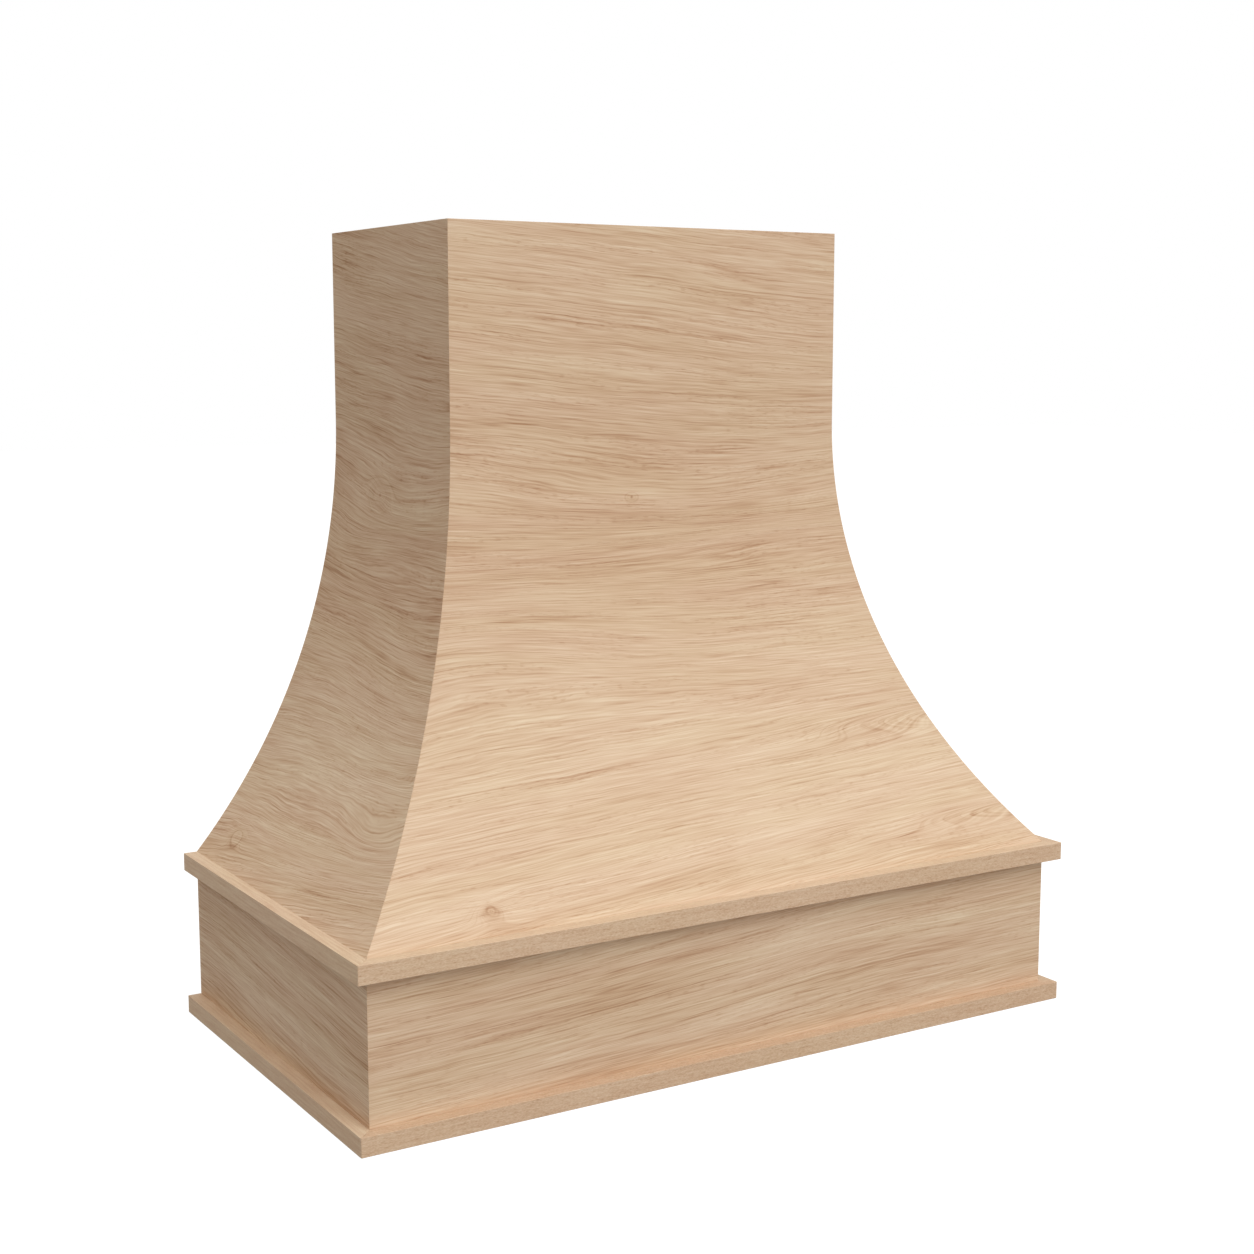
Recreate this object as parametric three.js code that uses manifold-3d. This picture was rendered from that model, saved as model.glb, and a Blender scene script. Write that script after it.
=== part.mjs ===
// Wooden range hood cover: a flared chimney in three curved oak panels over a boxed apron,
// with a flat oak band above and below the apron, built round an inner plywood frame.
// It hangs on a bevelled wall cleat and is open at the back, the top and the bottom.
//
// Millimetres. +Z is up, +X is to the right seen from the room, and the wall is y = wallPlane.
// The origin is the centre of the footprint, at the underside of the lower band.
import * as THREE from "three";
import { mergeVertices } from "three/addons/utils/BufferGeometryUtils.js";
import Module from "manifold-3d";

const wasm = await Module();
wasm.setup();

// ---- driving dimensions ----

const overallWidth = 914.4; // across the bands
const overallDepth = 501.65; // wall to the front of the bands
const overallHeight = 914.4;

const chimneyWidth = 508; // at the top, outside
const chimneyDepth = 304.8;
const chimneyStraight = 219; // plumb height above the bend
const skinThickness = 9.5; // bent plywood panels

const apronHeight = 152.4; // shown between the two bands
const apronThickness = 19;
const bandThickness = 20.6;
const bandProjection = 15.9; // proud of the apron
const bandWidth = 63.5; // the board, lying flat

const frameThickness = 18; // plywood of the inner frame
const ribWidth = 50;
const frontRibGap = 33; // from a hip post to the nearest front rib, at the top
const hipPostSize = 32;
const topRailHeight = 64;
const stringerHeight = 45;
const stringerRise = 216; // from the upper band to the underside of the stringers

const hangingRailHeight = 78; // at its back face
const hangingRailDrop = 22; // its top, below the top of the hood
const wallCleatHeight = 60; // at its front face
const wallCleatSideClearance = 8;
const wallScrewHole = 6; // diameter
const wallHoleCount = 4; // in the wall cleat, and in the base rail
const cleatHoleEndMargin = 36;
const baseHoleEndMargin = 117;

const insertRailHeight = 38;
const insertRailGap = 25; // from the rear insert rail up to the base rail
const cornerBlockSize = 30;
const cornerBlockChamfer = 12;

const mitreKeyLength = 28; // across the mitre
const mitreKeyWidth = 24; // along the mitre
const mitreKeyThickness = 4;

const bracketLeg = 40;
const bracketWidth = 20;
const bracketThickness = 2.5;
const bracketHoleInset = 12; // from the end of a leg

const screwShank = 3.6;
const screwHead = 7.6;
const screwHeadDepth = 2.4;
const screwPoint = 4;
const screwTipCover = 4; // wood left beyond a screw's tip
const ribScrewMargin = 14; // from the edges of the rear top rail
const hangingScrewCount = 3;
const hangingScrewEndMargin = 74;
const frontInsertScrewCount = 3;
const sideInsertScrewCount = 2;
const insertScrewEndMargin = 60;
const crossRecessSpan = 3.8;
const crossRecessWidth = 0.9;
const crossRecessDepth = 1.4;

const seam = 0.3; // glue line or running gap between two faces that meet
const keyClearance = 0.3;
const screwClearance = 0.3;
const cutMargin = 1; // a cutter stands this far proud of what it cuts

const curveSteps = 32; // facets of the flare
const screwSides = 12;
const holeSides = 16;

// ---- places shared by the sub-assemblies ----

const halfWidth = overallWidth / 2;
const wallPlane = overallDepth / 2;
const wallRailFront = wallPlane - frameThickness; // room face of all that lies against the wall
const bandFront = -overallDepth / 2;
const apronHalf = halfWidth - bandProjection;
const apronFront = bandFront + bandProjection;
const chimneyHalf = chimneyWidth / 2;
const chimneyFront = wallPlane - chimneyDepth;
const chimneyHeight = overallHeight - apronHeight - 2 * bandThickness;

const sides = [
  ["left", -1],
  ["right", 1],
];

// ---- finishes ----

const oakPanel = { color: 0xd6b894, roughness: 0.62, metalness: 0 };
const oakTrim = { color: 0xcbb08b, roughness: 0.66, metalness: 0 };
const plywood = { color: 0xdcc7a2, roughness: 0.75, metalness: 0 };
const zincSteel = { color: 0xb9bcc0, roughness: 0.35, metalness: 1 };

// ---- the tree: sub-assemblies stacked one on the other, each built up from its own base ----

const hood = new THREE.Group();

function addStage(z) {
  const stage = new THREE.Group();
  stage.position.z = z;
  hood.add(stage);
  return stage;
}

const lowerBand = addStage(0);
const apron = addStage(bandThickness);
const upperBand = addStage(bandThickness + apronHeight);
const chimney = addStage(2 * bandThickness + apronHeight);

function addPiece(stage, name, geometry, finish) {
  const piece = new THREE.Mesh(geometry, new THREE.MeshStandardMaterial(finish));
  piece.name = name;
  stage.add(piece);
  return piece;
}

// ---- solids ----

const rectangle = (x0, x1, y0, y1) => [
  [x0, y0],
  [x1, y0],
  [x1, y1],
  [x0, y1],
];

function extrude(outline, depth) {
  const shape = new THREE.Shape(outline.map(([u, v]) => new THREE.Vector2(u, v)));
  return new THREE.ExtrudeGeometry(shape, { depth, bevelEnabled: false });
}

// A board with the given outline seen from above.
const board = (outline, zFrom, zTo) => extrude(outline, zTo - zFrom).translate(0, 0, zFrom);

// A bar along X, centred, with the given outline in (y, z).
const barAlongX = (outline, half) =>
  extrude(outline, 2 * half).rotateX(Math.PI / 2).rotateZ(Math.PI / 2).translate(-half, 0, 0);

function faceted(geometry) {
  const flat = geometry.toNonIndexed();
  flat.computeVertexNormals();
  return flat;
}

function toSolid(geometry) {
  const bare = new THREE.BufferGeometry();
  bare.setAttribute("position", geometry.getAttribute("position"));
  bare.setIndex(geometry.getIndex());
  const merged = mergeVertices(bare);
  const mesh = new wasm.Mesh({
    numProp: 3,
    vertProperties: new Float32Array(merged.getAttribute("position").array),
    triVerts: new Uint32Array(merged.getIndex().array),
  });
  return new wasm.Manifold(mesh);
}

// Takes every cutter out of a geometry.
function carve(geometry, cutters) {
  const subtractOne = (solid, cutter) => solid.subtract(toSolid(cutter));
  const mesh = cutters.reduce(subtractOne, toSolid(geometry)).getMesh();
  const result = new THREE.BufferGeometry();
  result.setAttribute("position", new THREE.Float32BufferAttribute(mesh.vertProperties, 3));
  result.setIndex([...mesh.triVerts]);
  return faceted(result);
}

// `count` places along a piece centred on zero, the outer ones `margin` from its ends.
function placesAlong(half, margin, count) {
  const step = (2 * (half - margin)) / (count - 1);
  return Array.from({ length: count }, (_, i) => margin - half + i * step);
}

// Cutters for the wall screws through a rail against the wall.
function wallHoles(half, margin, z) {
  const radius = wallScrewHole / 2;
  const length = frameThickness + 2 * cutMargin;
  const y = wallPlane - frameThickness / 2;
  return placesAlong(half, margin, wallHoleCount).map((x) =>
    new THREE.CylinderGeometry(radius, radius, length, holeSides).translate(x, y, z),
  );
}

// ---- the flare ----

// Seen from the front or the side, a panel is plumb above the bend and a circular arc below it,
// tangent at the bend and `run` further out at the foot. Heights are above the upper band.
const bendLevel = chimneyHeight - chimneyStraight;
const arcRadius = (run) => bendLevel ** 2 / (2 * run) + run / 2;

// How far out the surface `inset` behind a panel's face lies at height z, from the plumb face.
function flareOut(run, z, inset) {
  const fall = Math.max(0, bendLevel - z);
  const radius = arcRadius(run);
  return radius - Math.sqrt((radius + inset) ** 2 - fall ** 2);
}

const sideRun = apronHalf - chimneyHalf;
const frontRun = chimneyFront - apronFront;
const halfWidthAt = (z, inset) => chimneyHalf + flareOut(sideRun, z, inset);
const frontAt = (z, inset) => chimneyFront - flareOut(frontRun, z, inset);

// Heights at which every flared piece has a section, so that neighbours share their facets.
const flareSweep = 2 * Math.atan2(sideRun, bendLevel);
const flareLevels = Array.from(
  { length: curveSteps + 1 },
  (_, i) => bendLevel - arcRadius(sideRun) * Math.sin(flareSweep * (1 - i / curveSteps)),
);

// A closed solid through level four-cornered sections, from the upper band up to zTo.
function flared(sectionAt, zTo) {
  const between = flareLevels.filter((z) => z > seam && z < zTo - seam);
  const levels = [0, ...between, zTo];
  const rings = levels.map((z) => {
    const ring = sectionAt(z).map(([x, y]) => new THREE.Vector2(x, y));
    return THREE.ShapeUtils.isClockWise(ring) ? ring.reverse() : ring;
  });
  const points = rings.flatMap((ring, i) => ring.flatMap((p) => [p.x, p.y, levels[i]]));
  const faces = [0, 2, 1, 0, 3, 2];
  for (let i = 0; i + 1 < levels.length; i++) {
    for (let k = 0; k < 4; k++) {
      const [a, b] = [4 * i + k, 4 * i + ((k + 1) % 4)];
      faces.push(a, b, b + 4, a, b + 4, a + 4);
    }
  }
  const top = 4 * (levels.length - 1);
  faces.push(top, top + 1, top + 2, top, top + 2, top + 3);
  const geometry = new THREE.BufferGeometry();
  geometry.setAttribute("position", new THREE.Float32BufferAttribute(points, 3));
  geometry.setIndex(faces);
  return faceted(geometry);
}

// ---- screws ----

// A countersunk screw turned about Y: its face at y = 0, its point down at y = -length.
function screwBody(length) {
  const profile = [
    [0, -length],
    [screwShank / 2, screwPoint - length],
    [screwShank / 2, -screwHeadDepth],
    [screwHead / 2, 0],
    [0, 0],
  ];
  const points = profile.map(([r, y]) => new THREE.Vector2(r, y));
  const barSize = [crossRecessSpan, 2 * crossRecessDepth, crossRecessWidth];
  const recess = [
    new THREE.BoxGeometry(...barSize),
    new THREE.BoxGeometry(...barSize.toReversed()),
  ];
  return carve(new THREE.LatheGeometry(points, screwSides), recess);
}

// The hole for it, `screwClearance` larger all round and open at the face.
function screwHole(length) {
  const shank = screwShank / 2 + screwClearance;
  const head = screwHead / 2 + screwClearance;
  const profile = [
    [0, -length - screwClearance],
    [shank, screwPoint - length],
    [shank, -screwHeadDepth - screwClearance],
    [head, 0],
    [head, cutMargin],
    [0, cutMargin],
  ];
  const points = profile.map(([r, y]) => new THREE.Vector2(r, y));
  return new THREE.LatheGeometry(points, screwSides);
}

// Adds one screw, its face at `place`, and gives back the hole that the pieces round it need.
function addScrew(stage, name, length, direction, place) {
  const screw = addPiece(stage, name, screwBody(length), zincSteel);
  const pointing = new THREE.Vector3(0, -1, 0);
  screw.position.set(...place);
  screw.quaternion.setFromUnitVectors(pointing, new THREE.Vector3(...direction));
  screw.updateMatrix();
  return screwHole(length).applyMatrix4(screw.matrix);
}

// ---- boards mitred at the two front corners: the bands and the apron ----

// The outlines of a front and two side boards, `width` wide, inside a footprint open at the wall.
function mitredBoards(half, front, width) {
  const [innerHalf, innerFront] = [half - width, front + width];
  const outlines = {
    front: [
      [seam - half, front],
      [half - seam, front],
      [innerHalf - seam, innerFront],
      [seam - innerHalf, innerFront],
    ],
  };
  for (const [word, side] of sides) {
    outlines[word] = [
      [side * half, front + seam],
      [side * half, wallPlane],
      [side * innerHalf, wallPlane],
      [side * innerHalf, innerFront + seam],
    ];
  }
  return Object.entries(outlines);
}

// A loose key lies square across the middle of each mitre, in the thickness of the boards.
function addMitreKey(stage, name, side) {
  const size = [mitreKeyLength, mitreKeyWidth, mitreKeyThickness];
  const key = addPiece(stage, name, new THREE.BoxGeometry(...size), plywood);
  const middle = bandWidth / 2;
  key.position.set(side * (halfWidth - middle), bandFront + middle, bandThickness / 2);
  key.rotation.z = (side * Math.PI) / 4;
  key.updateMatrix();
  const slotSize = size.map((length) => length + 2 * keyClearance);
  return new THREE.BoxGeometry(...slotSize).applyMatrix4(key.matrix);
}

function addBand(stage, level) {
  const slots = sides.map(([word, side]) => addMitreKey(stage, `${level}_mitre_key_${word}`, side));
  for (const [word, outline] of mitredBoards(halfWidth, bandFront, bandWidth)) {
    const plank = carve(board(outline, 0, bandThickness), slots);
    addPiece(stage, `${level}_band_${word}`, plank, oakTrim);
  }
}

function addApronBoards(screwHoles) {
  for (const [word, outline] of mitredBoards(apronHalf, apronFront, apronThickness)) {
    const plank = carve(board(outline, 0, apronHeight), screwHoles);
    addPiece(apron, `apron_${word}`, plank, oakPanel);
  }
}

// ---- inside the apron ----

const insideHalf = apronHalf - apronThickness - seam; // room between the apron's inner faces
const insideFront = apronFront + apronThickness + seam;
const insertRailTop = seam + insertRailHeight;
const baseRailBase = insertRailTop + insertRailGap;
const baseRailTop = apronHeight - seam;
const baseRailMiddle = (baseRailBase + baseRailTop) / 2;
const blockInnerHalf = insideHalf - cornerBlockSize;
const blockBack = insideFront + cornerBlockSize;

// Square blocks glued into the front corners, with their free corner cut off.
function addCornerBlocks() {
  for (const [word, side] of sides) {
    const outline = [
      [side * insideHalf, insideFront],
      [side * blockInnerHalf, insideFront],
      [side * blockInnerHalf, blockBack - cornerBlockChamfer],
      [side * (blockInnerHalf + cornerBlockChamfer), blockBack],
      [side * insideHalf, blockBack],
    ];
    addPiece(apron, `corner_block_${word}`, board(outline, seam, baseRailTop), plywood);
  }
}

// Rails for the insert's screws stand on the lower band, all the way round.
const frontInsertRailHalf = blockInnerHalf - seam;
const frontInsertRailFace = insideFront + frameThickness;
const sideInsertRailFace = insideHalf - frameThickness;
const sideInsertRailFront = blockBack + seam;
const sideInsertRailBack = wallRailFront - seam;

function addInsertRails(screwHoles) {
  const across = [-frontInsertRailHalf, frontInsertRailHalf];
  const outlines = {
    front: rectangle(...across, insideFront, frontInsertRailFace),
    rear: rectangle(-insideHalf, insideHalf, wallRailFront, wallPlane),
  };
  for (const [word, side] of sides) {
    const [inner, outer] = [side * sideInsertRailFace, side * insideHalf];
    outlines[word] = rectangle(inner, outer, sideInsertRailFront, sideInsertRailBack);
  }
  for (const [word, outline] of Object.entries(outlines)) {
    const rail = carve(board(outline, seam, insertRailTop), screwHoles);
    addPiece(apron, `insert_rail_${word}`, rail, plywood);
  }
}

// Screws from inside, through the insert rails into the apron.
function addInsertScrews() {
  const length = frameThickness + seam + apronThickness - screwTipCover;
  const z = seam + insertRailHeight / 2;
  const frontPlaces = placesAlong(frontInsertRailHalf, insertScrewEndMargin, frontInsertScrewCount);
  const frontHoles = frontPlaces.map((x, i) => {
    const name = `insert_screw_front_${i + 1}`;
    return addScrew(apron, name, length, [0, -1, 0], [x, frontInsertRailFace, z]);
  });
  const railHalf = (sideInsertRailBack - sideInsertRailFront) / 2;
  const railMiddle = (sideInsertRailBack + sideInsertRailFront) / 2;
  const sidePlaces = placesAlong(railHalf, insertScrewEndMargin, sideInsertScrewCount);
  const sideHoles = sides.flatMap(([word, side]) =>
    sidePlaces.map((y, i) => {
      const name = `insert_screw_${word}_${i + 1}`;
      const place = [side * sideInsertRailFace, railMiddle + y, z];
      return addScrew(apron, name, length, [side, 0, 0], place);
    }),
  );
  return [...frontHoles, ...sideHoles];
}

// The base rail lies against the wall above the rear insert rail, and takes the lower wall screws.
function addBaseRail(screwHoles) {
  const outline = rectangle(-insideHalf, insideHalf, wallRailFront, wallPlane);
  const holes = [...screwHoles, ...wallHoles(insideHalf, baseHoleEndMargin, baseRailMiddle)];
  const rail = carve(board(outline, baseRailBase, baseRailTop), holes);
  addPiece(apron, "base_rail", rail, plywood);
}

// Steel angles in the rear corners tie the base rail to the apron sides.
const bracketCorner = wallRailFront - seam;

function addBrackets(screwHoles) {
  const legEnd = insideHalf - bracketLeg;
  const legFace = insideHalf - bracketThickness;
  for (const [word, side] of sides) {
    const outline = [
      [side * insideHalf, bracketCorner],
      [side * legEnd, bracketCorner],
      [side * legEnd, bracketCorner - bracketThickness],
      [side * legFace, bracketCorner - bracketThickness],
      [side * legFace, bracketCorner - bracketLeg],
      [side * insideHalf, bracketCorner - bracketLeg],
    ];
    const zFrom = baseRailMiddle - bracketWidth / 2;
    const angle = carve(board(outline, zFrom, zFrom + bracketWidth), screwHoles);
    addPiece(apron, `corner_bracket_${word}`, angle, zincSteel);
  }
}

// One screw into the base rail and one into the apron side, through each angle.
function addBracketScrews() {
  const wood = Math.min(frameThickness, apronThickness);
  const length = bracketThickness + seam + wood - screwTipCover;
  const reach = bracketLeg - bracketHoleInset;
  return sides.flatMap(([word, side]) => {
    const onRail = [side * (insideHalf - reach), bracketCorner - bracketThickness, baseRailMiddle];
    const onApron = [side * (insideHalf - bracketThickness), bracketCorner - reach, baseRailMiddle];
    return [
      addScrew(apron, `bracket_screw_${word}_rail`, length, [0, 1, 0], onRail),
      addScrew(apron, `bracket_screw_${word}_apron`, length, [side, 0, 0], onApron),
    ];
  });
}

// ---- chimney panels ----

// Bent plywood, one thickness all round, mitred where the front meets the sides.
function addPanels() {
  const frontSection = (z) => {
    const [outer, inner] = [halfWidthAt(z, 0) - seam, halfWidthAt(z, skinThickness) - seam];
    const [face, back] = [frontAt(z, 0), frontAt(z, skinThickness)];
    return [
      [-outer, face],
      [outer, face],
      [inner, back],
      [-inner, back],
    ];
  };
  addPiece(chimney, "front_panel", flared(frontSection, chimneyHeight), oakPanel);
  for (const [word, side] of sides) {
    const section = (z) => [
      [side * halfWidthAt(z, 0), frontAt(z, 0) + seam],
      [side * halfWidthAt(z, 0), wallPlane],
      [side * halfWidthAt(z, skinThickness), wallPlane],
      [side * halfWidthAt(z, skinThickness), frontAt(z, skinThickness) + seam],
    ];
    addPiece(chimney, `${word}_panel`, flared(section, chimneyHeight), oakPanel);
  }
}

// ---- the frame inside the chimney ----

const frameInset = skinThickness + seam; // from the face of a panel to the frame behind it
const frameHalf = chimneyHalf - frameInset; // outside of the frame in the plumb part
const frameFront = chimneyFront + frameInset;
const rearRailFront = wallRailFront - seam - frameThickness;
const topRailBase = chimneyHeight - topRailHeight;
const frontRailHalf = frameHalf - hipPostSize - seam;

// The ring of stringers is let into the posts and ribs, half of a rib's width behind the panels.
const stringerTop = stringerRise + stringerHeight;
const stringerFront = frontAt(stringerTop, frameInset + ribWidth / 2);
const stringerBack = stringerFront + frameThickness;
const stringerOuter = halfWidthAt(stringerTop, frameInset + ribWidth / 2);
const stringerInner = stringerOuter - frameThickness;
const frontStringerHalf = halfWidthAt(stringerTop, frameInset + hipPostSize / 2);

// A stringer, or its notch when it is `grow` larger.
function frontStringer(grow) {
  const half = frontStringerHalf + grow;
  const outline = rectangle(-half, half, stringerFront - grow, stringerBack + grow);
  return board(outline, stringerRise - grow, stringerTop + grow);
}

function sideStringer(side, grow) {
  const [inner, outer] = [side * (stringerInner - grow), side * (stringerOuter + grow)];
  const outline = rectangle(inner, outer, stringerBack + seam, wallRailFront - seam);
  return board(outline, stringerRise - grow, stringerTop + grow);
}

function addStringers() {
  addPiece(chimney, "front_stringer", frontStringer(0), plywood);
  for (const [word, side] of sides) {
    addPiece(chimney, `${word}_stringer`, sideStringer(side, 0), plywood);
  }
}

function addHipPosts() {
  for (const [word, side] of sides) {
    const section = (z) =>
      rectangle(
        side * halfWidthAt(z, frameInset),
        side * halfWidthAt(z, frameInset + hipPostSize),
        frontAt(z, frameInset),
        frontAt(z, frameInset + hipPostSize),
      );
    const post = carve(flared(section, chimneyHeight), [frontStringer(seam)]);
    addPiece(chimney, `hip_post_${word}`, post, plywood);
  }
}

function addFrontRibs() {
  const outer = frontRailHalf - frontRibGap;
  for (const [word, side] of sides) {
    const section = (z) =>
      rectangle(
        side * outer,
        side * (outer - frameThickness),
        frontAt(z, frameInset),
        frontAt(z, frameInset + ribWidth),
      );
    const rib = carve(flared(section, topRailBase - seam), [frontStringer(seam)]);
    addPiece(chimney, `front_rib_${word}`, rib, plywood);
  }
}

// A rib behind a side panel, lying between two planes of equal y.
function sideRib(side, yFrom, zTo, cutters) {
  const section = (z) =>
    rectangle(
      side * halfWidthAt(z, frameInset),
      side * halfWidthAt(z, frameInset + ribWidth),
      yFrom,
      yFrom + frameThickness,
    );
  return carve(flared(section, zTo), cutters);
}

// Half way between the hip post and the rear top rail.
function addSideRibs() {
  const yFrom = (frameFront + hipPostSize + rearRailFront - frameThickness) / 2;
  for (const [word, side] of sides) {
    const rib = sideRib(side, yFrom, topRailBase - seam, [sideStringer(side, seam)]);
    addPiece(chimney, `side_rib_${word}`, rib, plywood);
  }
}

function addRearRibs(screwHoles) {
  for (const [word, side] of sides) {
    const rib = sideRib(side, wallRailFront, chimneyHeight, screwHoles);
    addPiece(chimney, `rear_rib_${word}`, rib, plywood);
  }
}

function addTopRails(screwHoles) {
  const frontBack = frameFront + frameThickness;
  const outlines = {
    front: rectangle(-frontRailHalf, frontRailHalf, frameFront, frontBack),
    rear: rectangle(-frameHalf, frameHalf, rearRailFront, rearRailFront + frameThickness),
  };
  for (const [word, side] of sides) {
    const [inner, outer] = [side * (frameHalf - frameThickness), side * frameHalf];
    const front = frameFront + hipPostSize + seam;
    outlines[word] = rectangle(inner, outer, front, rearRailFront - seam);
  }
  for (const [word, outline] of Object.entries(outlines)) {
    const rail = carve(board(outline, topRailBase, chimneyHeight), screwHoles);
    addPiece(chimney, `top_rail_${word}`, rail, plywood);
  }
}

// ---- hanging: the hanging rail's bevel hooks over the wall cleat's ----

const hangingRailHalf = frameHalf - ribWidth - seam;
const hangingRailTop = chimneyHeight - hangingRailDrop;
const hangingRailPoint = hangingRailTop - hangingRailHeight; // the bevel's lower tip, at the wall
const bevelTop = hangingRailPoint + frameThickness; // a bevel at 45 degrees

function addHangingRail(screwHoles) {
  const outline = [
    [wallPlane, hangingRailPoint],
    [wallPlane, hangingRailTop],
    [wallRailFront, hangingRailTop],
    [wallRailFront, bevelTop],
  ];
  const rail = carve(barAlongX(outline, hangingRailHalf), screwHoles);
  addPiece(chimney, "hanging_rail", rail, plywood);
}

function addWallCleat() {
  const half = hangingRailHalf - wallCleatSideClearance;
  const top = bevelTop - seam * Math.SQRT2;
  const base = top - wallCleatHeight;
  const outline = [
    [wallPlane, base],
    [wallPlane, top - frameThickness],
    [wallRailFront, top],
    [wallRailFront, base],
  ];
  const holes = wallHoles(half, cleatHoleEndMargin, (base + top - frameThickness) / 2);
  addPiece(chimney, "wall_cleat", carve(barAlongX(outline, half), holes), plywood);
}

// Screws from the room side of the rear top rail reach into what lies behind it.
const rearScrewLength = 2 * frameThickness + seam - screwTipCover;

function addRibScrews() {
  const levels = [
    ["lower", topRailBase + ribScrewMargin],
    ["upper", chimneyHeight - ribScrewMargin],
  ];
  return sides.flatMap(([word, side]) =>
    levels.map(([level, z]) => {
      const name = `rib_screw_${word}_${level}`;
      const place = [side * (frameHalf - ribWidth / 2), rearRailFront, z];
      return addScrew(chimney, name, rearScrewLength, [0, 1, 0], place);
    }),
  );
}

function addHangingScrews() {
  const z = (topRailBase + hangingRailTop) / 2;
  const places = placesAlong(hangingRailHalf, hangingScrewEndMargin, hangingScrewCount);
  return places.map((x, i) => {
    const name = `hanging_screw_${i + 1}`;
    return addScrew(chimney, name, rearScrewLength, [0, 1, 0], [x, rearRailFront, z]);
  });
}

// ---- the whole cover ----

addBand(lowerBand, "lower");
addBand(upperBand, "upper");

const insertScrewHoles = addInsertScrews();
const bracketScrewHoles = addBracketScrews();
addApronBoards([...insertScrewHoles, ...bracketScrewHoles]);
addCornerBlocks();
addInsertRails(insertScrewHoles);
addBaseRail(bracketScrewHoles);
addBrackets(bracketScrewHoles);

const ribScrewHoles = addRibScrews();
const hangingScrewHoles = addHangingScrews();
addPanels();
addStringers();
addHipPosts();
addFrontRibs();
addSideRibs();
addRearRibs(ribScrewHoles);
addTopRails([...ribScrewHoles, ...hangingScrewHoles]);
addHangingRail(hangingScrewHoles);
addWallCleat();

export default hood;
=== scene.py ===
"""Looks of a wooden range hood cover: oak panels and bands, a plywood frame and steel fixings.

Metres, in the frame of the solids: +Z up, +X to the right seen from the room, the wall at +Y.
"""

import math

import bmesh
import bpy
from mathutils import Matrix, Vector


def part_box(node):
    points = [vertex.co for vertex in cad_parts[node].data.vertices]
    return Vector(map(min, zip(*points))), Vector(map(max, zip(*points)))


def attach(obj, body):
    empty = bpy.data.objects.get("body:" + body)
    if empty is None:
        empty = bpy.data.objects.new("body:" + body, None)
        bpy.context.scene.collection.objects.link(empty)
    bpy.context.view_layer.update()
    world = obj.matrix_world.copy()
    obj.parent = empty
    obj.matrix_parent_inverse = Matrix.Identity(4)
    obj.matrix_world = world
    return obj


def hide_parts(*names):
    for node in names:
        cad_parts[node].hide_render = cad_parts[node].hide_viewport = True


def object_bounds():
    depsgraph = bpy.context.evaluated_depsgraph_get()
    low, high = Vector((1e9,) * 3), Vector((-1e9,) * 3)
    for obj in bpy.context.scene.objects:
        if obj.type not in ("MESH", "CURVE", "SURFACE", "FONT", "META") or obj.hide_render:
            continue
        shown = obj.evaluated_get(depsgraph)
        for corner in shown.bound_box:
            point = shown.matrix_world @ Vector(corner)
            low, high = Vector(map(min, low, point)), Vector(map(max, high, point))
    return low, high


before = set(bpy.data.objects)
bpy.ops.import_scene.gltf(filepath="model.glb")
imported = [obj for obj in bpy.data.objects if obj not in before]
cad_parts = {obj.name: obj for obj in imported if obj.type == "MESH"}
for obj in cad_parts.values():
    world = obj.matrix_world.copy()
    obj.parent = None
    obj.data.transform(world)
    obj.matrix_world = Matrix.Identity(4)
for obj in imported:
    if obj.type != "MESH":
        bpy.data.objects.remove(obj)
cad_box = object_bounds()

# ---- sizes ----

BODY = "root"
SKIN = 0.0095  # thickness of the bent panels
PLUMB_HEIGHT = 0.219  # of the chimney, above the bend
HIP_GAP = 0.0001  # by which each piece stays back from a mitre, for the glue line
FLARE_STEPS = 96

# Read from the solids.
HALF_WIDTH = cad_box[1].x
FRONT = cad_box[0].y
WALL = cad_box[1].y
FOOT, CROWN = (corner.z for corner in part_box("front_panel"))
BEND = CROWN - PLUMB_HEIGHT
APRON_HALF = -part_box("left_panel")[0].x
APRON_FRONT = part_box("front_panel")[0].y
CHIMNEY_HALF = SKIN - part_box("left_panel")[1].x
CHIMNEY_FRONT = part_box("front_panel")[1].y - SKIN

SIDES = {"left": -1, "right": 1}
GRAIN_AXIS = {"front": 0, "left": 1, "right": 1}  # the grain of boards and panels runs level


class Flare:
    """A panel seen edge on: plumb above the bend, and below it an arc that runs out at the foot."""

    def __init__(self, run):
        drop = BEND - FOOT
        self.radius = drop**2 / (2 * run) + run / 2
        self.sweep = math.asin(drop / self.radius)

    def out(self, z, inset=0.0):
        """How far out the surface `inset` behind the face lies at height z, from the plumb face."""
        fall = max(0.0, BEND - z)
        return self.radius - math.sqrt((self.radius + inset) ** 2 - fall**2)

    def climb(self, z):
        """Distance up the face from the foot to height z, along the curve."""
        angle = math.asin(max(0.0, BEND - z) / self.radius)
        return self.radius * (self.sweep - angle) + max(0.0, z - BEND)

    def heights(self):
        """Heights of even steps along the arc, and the crown."""
        angles = [self.sweep * (1 - i / FLARE_STEPS) for i in range(FLARE_STEPS + 1)]
        return [BEND - self.radius * math.sin(angle) for angle in angles] + [CROWN]


SIDE_FLARE = Flare(APRON_HALF - CHIMNEY_HALF)
FRONT_FLARE = Flare(CHIMNEY_FRONT - APRON_FRONT)


def half_width_at(z, inset=0.0):
    """Half the cover's width at height z, over the surfaces `inset` behind the side faces."""
    return CHIMNEY_HALF + SIDE_FLARE.out(z, inset)


def front_at(z, inset=0.0):
    """Where the surface `inset` behind the front face lies at height z."""
    return CHIMNEY_FRONT - FRONT_FLARE.out(z, inset)


# ---- node trees written as sums ----


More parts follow.
